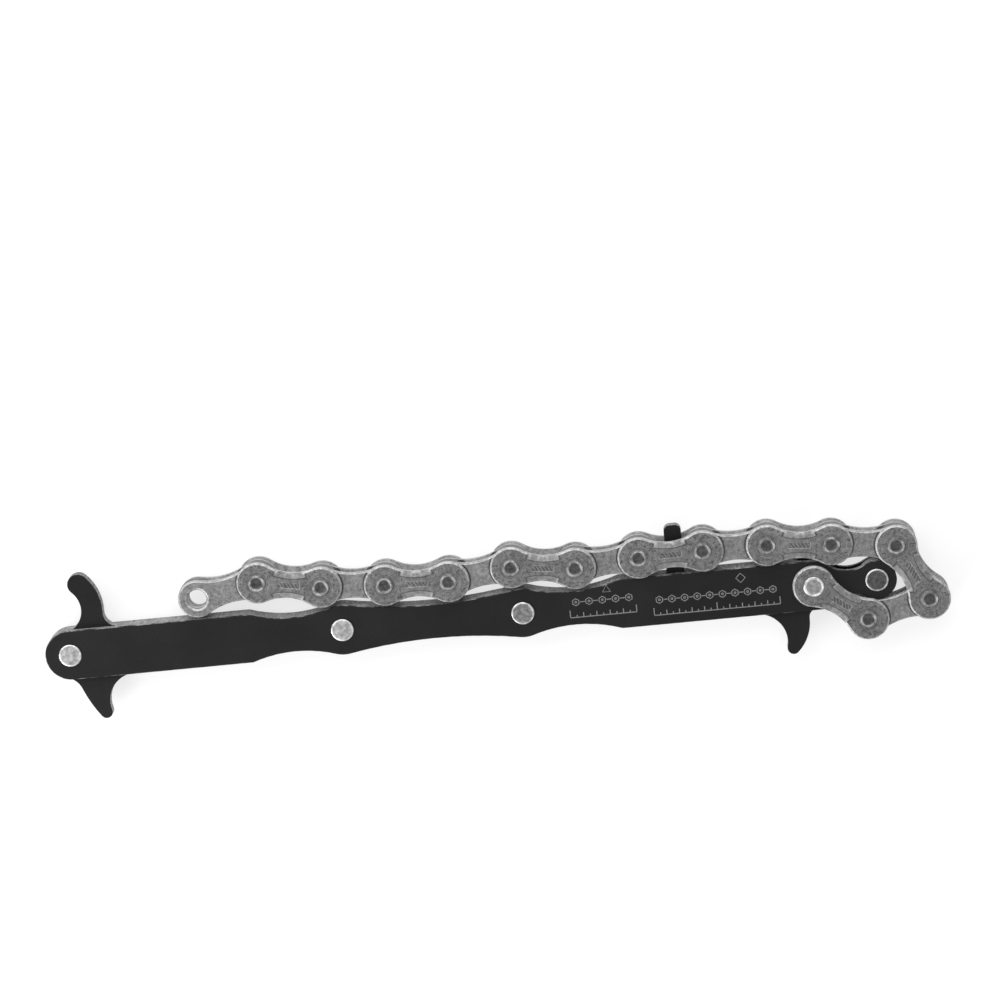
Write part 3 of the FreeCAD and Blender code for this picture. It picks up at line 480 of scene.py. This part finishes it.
# ---------------------------------------------------------------- bar
def add_bar_plates():
    """The bar's two side plates and the hook plate between them."""
    for node, material, slot in (("front_side_plate", SIDE_BLACK, "side_plate_black"),
                                 ("back_side_plate", SIDE_BLACK, "side_plate_black"),
                                 ("hook_plate", HOOK_BLACK, "hook_plate_black")):
        piece = merged_copy(node, f"{node}_coated")
        round_off(piece, 0.07 * MM)
        finish(piece, material, slot, "bar", node)


# ---------------------------------------------------------------- turned pieces
def wire(points):
    """A chain of edges through these points, as a new piece in edit mode."""
    bpy.ops.object.select_all(action="DESELECT")
    bpy.ops.mesh.primitive_plane_add(size=MM, location=points[0])
    bpy.ops.object.mode_set(mode="EDIT")
    bpy.ops.mesh.select_all(action="SELECT")
    bpy.ops.mesh.merge(type="CENTER")
    for start, end in zip(points, points[1:]):
        step = Vector(end) - Vector(start)
        bpy.ops.mesh.extrude_vertices_move(TRANSFORM_OT_translate={"value": step})
    return bpy.context.object


def mirrored(half):
    """A profile that goes on below the middle of the tool's thickness as it is above."""
    return half + [(radius, 2 * MIDDLE - height) for radius, height in reversed(half)]


def turned(name, profile, steps=56, rounding=0.0):
    """Spin a profile of (radius, height) points about the upright axis, and round the edges
    that it leaves sharp, all in millimetres. The mesh gets a UV map that holds the radius
    and the height of each corner."""
    piece = wire([Vector((radius, 0, height)) * MM for radius, height in profile])
    bpy.ops.mesh.select_all(action="SELECT")
    bpy.ops.mesh.spin(steps=steps, angle=2 * math.pi, center=(0, 0, 0), axis=(0, 0, 1))
    bpy.ops.mesh.select_all(action="SELECT")
    bpy.ops.mesh.remove_doubles(threshold=MERGE)
    bpy.ops.mesh.normals_make_consistent(inside=False)
    bpy.ops.object.mode_set(mode="OBJECT")
    piece.name = piece.data.name = name
    fix_place(piece)
    if rounding:
        round_off(piece, rounding * MM)
    else:
        shade_smooth(piece, 40)
    note_places(piece, "turning", lambda corner: (corner.xy.length / MM, corner.z / MM))
    return piece


def add_rivets():
    """The bar's rivets: two bright ones, a grey one, and the dished end pin."""
    domed = [(0, 0), (1.2, -0.01), (1.75, -0.02), (2.0, -0.03), (2.15, -0.07),
             (2.25, -0.15), (2.3, -0.3)]
    dished = [(0, -0.1), (1.5, -0.1), (1.78, -0.08), (1.95, -0.01), (2.02, 0), (2.14, -0.01),
              (2.24, -0.07), (2.29, -0.16), (2.3, -0.3)]
    for node, end, material in (("handle_rivet", domed, BRIGHT_RIVET),
                                ("middle_rivet", domed, BRIGHT_RIVET),
                                ("body_rivet", dished, GREY_RIVET),
                                ("end_roller_pin", dished, DARK_RIVET)):
        half = [(r, RIVET_TOP + h) for r, h in end] + [(PIN_RADIUS, SIDE_FACE)]
        piece = turned(f"{node}_steel", mirrored(half))
        piece.data.transform(upright(centre_of(node)))
        finish(piece, material, "rivet_steel", "bar", node)


def add_pins():
    """The chain's pins with their peened ends, and the pivot pin with its wider heads."""
    end = [(0, -0.2), (0.75, -0.19), (1.05, -0.15), (1.2, -0.04), (1.3, 0), (1.52, 0),
           (1.66, -0.03), (1.76, -0.1), (PIN_RADIUS, -0.2)]
    pin = turned("pin", mirrored([(r, PIN_TOP + h) for r, h in end]))
    for number in range(1, LINKS + 1, 2):
        node, places = f"link_{number:02}_pins", PINS[number - 1:number + 1]
        if number == 1:
            node, places = "link_01_pin", PINS[1:2]
        copies = [copied(pin, f"{node}_{n}", upright(place)) for n, place in enumerate(places)]
        whole = joined(copies, f"{node}_steel")
        finish(whole, PIN_STEEL, "pin_steel", f"link_{number:02}", node)
    bpy.data.objects.remove(pin)

    head = [(0, -0.11), (0.6, -0.12), (1.1, -0.15), (1.4, -0.13), (1.62, -0.05), (1.78, 0),
            (1.9, -0.02), (2.02, -0.1), (2.1, -0.22)]
    half = [(r, PIN_TOP + h) for r, h in head] + [(PIN_RADIUS, LINK_FACE)]
    pivot = turned("pivot_pin_steel", mirrored(half))
    pivot.data.transform(upright(PINS[0]))
    finish(pivot, PIVOT_STEEL, "pivot_steel", "link_01", "pivot_pin")


def add_rollers():
    """The chain's rollers, which turn on the inner plates' collars, and the one on a pin in
    the end of the bar."""
    mouth, shoulder = 0.12, 0.25
    for node in [f"roller_{n:02}" for n in range(2, LINKS + 2)] + ["end_roller"]:
        low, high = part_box(node)
        outer = (high.x - low.x) / 2 / MM
        bore = 1.85 if node == "end_roller" else 2.5
        top = high.z / MM
        half = [(bore, top - mouth), (bore + mouth, top), (outer - shoulder, top),
                (outer, top - shoulder)]
        ring = mirrored(half)
        piece = turned(f"{node}_steel", ring + ring[:1], steps=64, rounding=0.06)
        piece.data.transform(upright(centre_of(node)))
        finish(piece, ROLLER_STEEL, "roller_steel", node, node)


# ---------------------------------------------------------------- link plates
def link_matrix(number):
    """Takes a plate from the middle of a level link to its place between its two pins."""
    here, there = PINS[number - 1], PINS[number]
    way = there - here
    middle = (here + there) / 2
    return upright(middle) @ Matrix.Rotation(math.atan2(way.y, way.x), 4, "Z")


def flare_bores(piece, width):
    """Round the outer mouths of a plate's two bores generously, as drawn collars have them."""
    mouth_reach = 2.2  # from a bore's axis, in millimetres
    top = top_of(piece)

    def in_mouth(place):
        from_axis = math.hypot(abs(place.x) / MM - HALF_PITCH, place.y / MM)
        return top - place.z < 0.01 * MM and from_axis < mouth_reach

    only(piece)
    bpy.ops.object.mode_set(mode="EDIT")
    bpy.ops.mesh.select_all(action="DESELECT")
    bpy.ops.object.mode_set(mode="OBJECT")
    for edge in piece.data.edges:
        edge.select = all(in_mouth(piece.data.vertices[end].co) for end in edge.vertices)
    bpy.ops.object.mode_set(mode="EDIT")
    bpy.ops.mesh.bevel(offset=width, segments=5, profile=0.5)
    bpy.ops.object.mode_set(mode="OBJECT")


def stamp(piece, depth):
    """Press a plain oblong into the middle of a plate's outer face."""
    length, width = STAMP_LENGTH * MM, STAMP_WIDTH * MM
    bpy.ops.object.select_all(action="DESELECT")
    bpy.ops.mesh.primitive_cube_add(size=1, location=(0, 0, top_of(piece)),
                                    scale=(length, width, 2 * depth))
    punch = bpy.context.object
    fix_place(punch)
    modify(punch, "BEVEL", width=width * 0.3, segments=4, limit_method="ANGLE",
           angle_limit=REAL_EDGE, use_clamp_overlap=True)
    modify(piece, "BOOLEAN", object=punch, operation="DIFFERENCE", solver="EXACT")
    bpy.data.objects.remove(punch)


def plate_template(kind, number):
    """The front plate of one link, finished in shape, with its middle at the origin."""
    piece = merged_copy(f"link_{number:02}_front_plate", f"{kind}_plate")
    piece.data.transform(link_matrix(number).inverted())
    if kind == "inner":
        flare_bores(piece, 0.75 * MM)
    round_off(piece, 0.09 * MM, segments=3, smooth=16.5)
    if kind == "outer":
        stamp(piece, 0.07 * MM)
    note_places(piece, "plate", lambda corner: (corner.x / MM, corner.y / MM))
    return piece


def add_link_plates():
    """The chain's plates. A back plate is a front plate turned over."""
    half_turn = (Matrix.Translation((0, 0, MIDDLE * MM)) @ Matrix.Rotation(math.pi, 4, "X")
                 @ Matrix.Translation((0, 0, -MIDDLE * MM)))
    for kind, first, model, material in (("outer", 1, 3, OUTER_STEEL),
                                         ("inner", 2, 2, INNER_STEEL)):
        template = plate_template(kind, model)
        for number in range(first, LINKS + 1, 2):
            steel = END_STEEL if number == LINKS else material
            for side, turn in (("front", Matrix.Identity(4)), ("back", half_turn)):
                node = f"link_{number:02}_{side}_plate"
                piece = copied(template, f"{node}_steel", link_matrix(number) @ turn)
                finish(piece, steel, f"{kind}_link_steel", f"link_{number:02}", node)
        bpy.data.objects.remove(template)


# ---------------------------------------------------------------- etched marks
def line(*points):
    """A wire through these (x, y) points in millimetres."""
    made = wire([Vector((x, y, 0)) * MM for x, y in points])
    bpy.ops.object.mode_set(mode="OBJECT")
    return made


def polygon(x, y, radius, sides):
    """A closed wire with equal sides. Its place and radius are in millimetres."""
    bpy.ops.object.select_all(action="DESELECT")
    bpy.ops.mesh.primitive_circle_add(vertices=sides, radius=radius * MM,
                                      location=(x * MM, y * MM, 0))
    return bpy.context.object


def strokes(wires, name, width, height, face):
    """Turn wires into flat strokes that stand this height above a face, as one piece."""
    for piece in wires:
        only(piece)
        bpy.ops.object.convert(target="CURVE")
        curve = bpy.context.object.data
        curve.dimensions = "3D"
        curve.bevel_depth = width / 2
        curve.bevel_resolution = 2
        curve.use_fill_caps = True
        bpy.ops.object.convert(target="MESH")
    whole = joined(wires, name)
    fix_place(whole)
    flatten = Matrix.Scale(2 * height / width, 4, (0, 0, 1))
    whole.data.transform(Matrix.Translation((0, 0, face)) @ flatten)
    return whole


def add_marks():
    """Gauge marks on the front plate: a long scale and a short one, each with a row of link
    signs and a plain sign over it. Places are in millimetres from the handle rivet."""
    wires = []
    for start, end, count, level in ((117.0, 142.0, 10, -3.0), (100.4, 113.6, 5, -1.9)):
        wires.append(line((start, level), (end, level)))
        step = (end - start) / count
        for tick in range(2 * count + 1):
            tall = 1.5 if tick % 10 == 0 else 0.95 if tick % 2 == 0 else 0.5
            x = start + tick * step / 2
            wires.append(line((x, level + 0.1), (x, level + tall)))
        row = level + 3.1
        for place in range(count):
            x = start + (place + 0.5) * step
            wires.append(polygon(x, row, 0.72, sides=6))
            wires.append(polygon(x, row, 0.2, sides=6))
        for place in range(count - 1):
            x = start + (place + 0.5) * step
            wires.append(line((x + 0.8, row), (x + step - 0.8, row)))
    wires.append(polygon(134.6, 3.0, 0.95, sides=4))
    wires.append(polygon(108.0, 3.2, 0.9, sides=3))
    marks = strokes(wires, "gauge_marks", 0.2 * MM, 0.02 * MM, SIDE_FACE * MM)
    marks.data.transform(upright(centre_of("handle_rivet")))
    finish(marks, ETCHED, "side_plate_black", "bar")


# ---------------------------------------------------------------- camera, floor and light
def add_camera():
    """A long lens above the tool, tipped so that it sees the upper edges of the plates."""
    tip, lean, twist = math.radians(13.0), math.radians(-2.106), math.radians(6.101)
    turn = (Matrix.Rotation(tip, 4, "X") @ Matrix.Rotation(lean, 4, "Y")
            @ Matrix.Rotation(twist, 4, "Z")).inverted()
    middle = centre_of("handle_rivet") + Vector((80.0, 0, 0)) * MM
    away = Vector((6.359, 23.0, 700.0)) * MM  # right, up and back from the middle
    lens = bpy.data.cameras.new("camera")
    lens.lens = 126.5
    lens.sensor_width = 36.0
    lens.clip_start = 0.01
    camera = bpy.data.objects.new("camera", lens)
    camera.matrix_world = Matrix.Translation(middle + turn.to_3x3() @ away) @ turn
    bpy.context.scene.collection.objects.link(camera)
    bpy.context.scene.camera = camera


def add_lamp(name, place, size, power):
    """A soft oblong lamp that looks at the tool."""
    lamp = bpy.data.lights.new(name, "AREA")
    lamp.shape = "RECTANGLE"
    lamp.size, lamp.size_y = size
    lamp.energy = power
    holder = bpy.data.objects.new(name, lamp)
    holder.location = place
    way = Vector((0, 0, 3 * MM)) - Vector(place)
    holder.rotation_euler = way.to_track_quat("-Z", "Y").to_euler()
    bpy.context.scene.collection.objects.link(holder)


def seen_directly(tree):
    """1 for what the camera sees straight on, in a reflection or through glass."""
    straight, glossy, through = [
        add_node(tree, "ShaderNodeLightPath", {}, output=f"Is {kind} Ray")
        for kind in ("Camera", "Glossy", "Transmission")]
    return straight.most(glossy).most(through)


def add_world(ambient):
    """A white surround that lights the tool with only this strength."""
    world = bpy.data.worlds.new("studio")
    bpy.context.scene.world = world
    world.use_nodes = True
    tree = world.node_tree
    background = tree.nodes["Background"]
    background.inputs["Color"].default_value = (1, 1, 1, 1)
    connect(tree, background.inputs["Strength"],
            ambient + seen_directly(tree) * (1 - ambient))


def add_floor():
    """A white floor just under the tool, which keeps its shadow."""
    bpy.ops.object.select_all(action="DESELECT")
    bpy.ops.mesh.primitive_plane_add(size=4, location=(0, 0, -0.05 * MM))
    floor = bpy.context.object
    floor.name = "floor"
    material = bpy.data.materials.new("white_floor")
    material.use_nodes = True
    tree = material.node_tree
    shader = tree.nodes["Principled BSDF"]
    shader.inputs["Base Color"].default_value = (0.35, 0.35, 0.35, 1)
    shader.inputs["Roughness"].default_value = 0.9
    shader.inputs["Specular IOR Level"].default_value = 0.0
    shader.inputs["Emission Color"].default_value = (1, 1, 1, 1)
    connect(tree, shader.inputs["Emission Strength"], seen_directly(tree) * 0.72)
    floor.data.materials.append(material)


add_camera()
add_world(ambient=0.42)
add_floor()
add_lamp("key", place=(-0.12, 0.42, 0.32), size=(1.0, 0.45), power=3.5)
add_lamp("low", place=(-0.38, -0.26, 0.22), size=(0.35, 0.25), power=2.0)
add_bar_plates()
add_rivets()
add_link_plates()
add_pins()
add_rollers()
add_marks()
bpy.context.scene.view_settings.view_transform = "Standard"
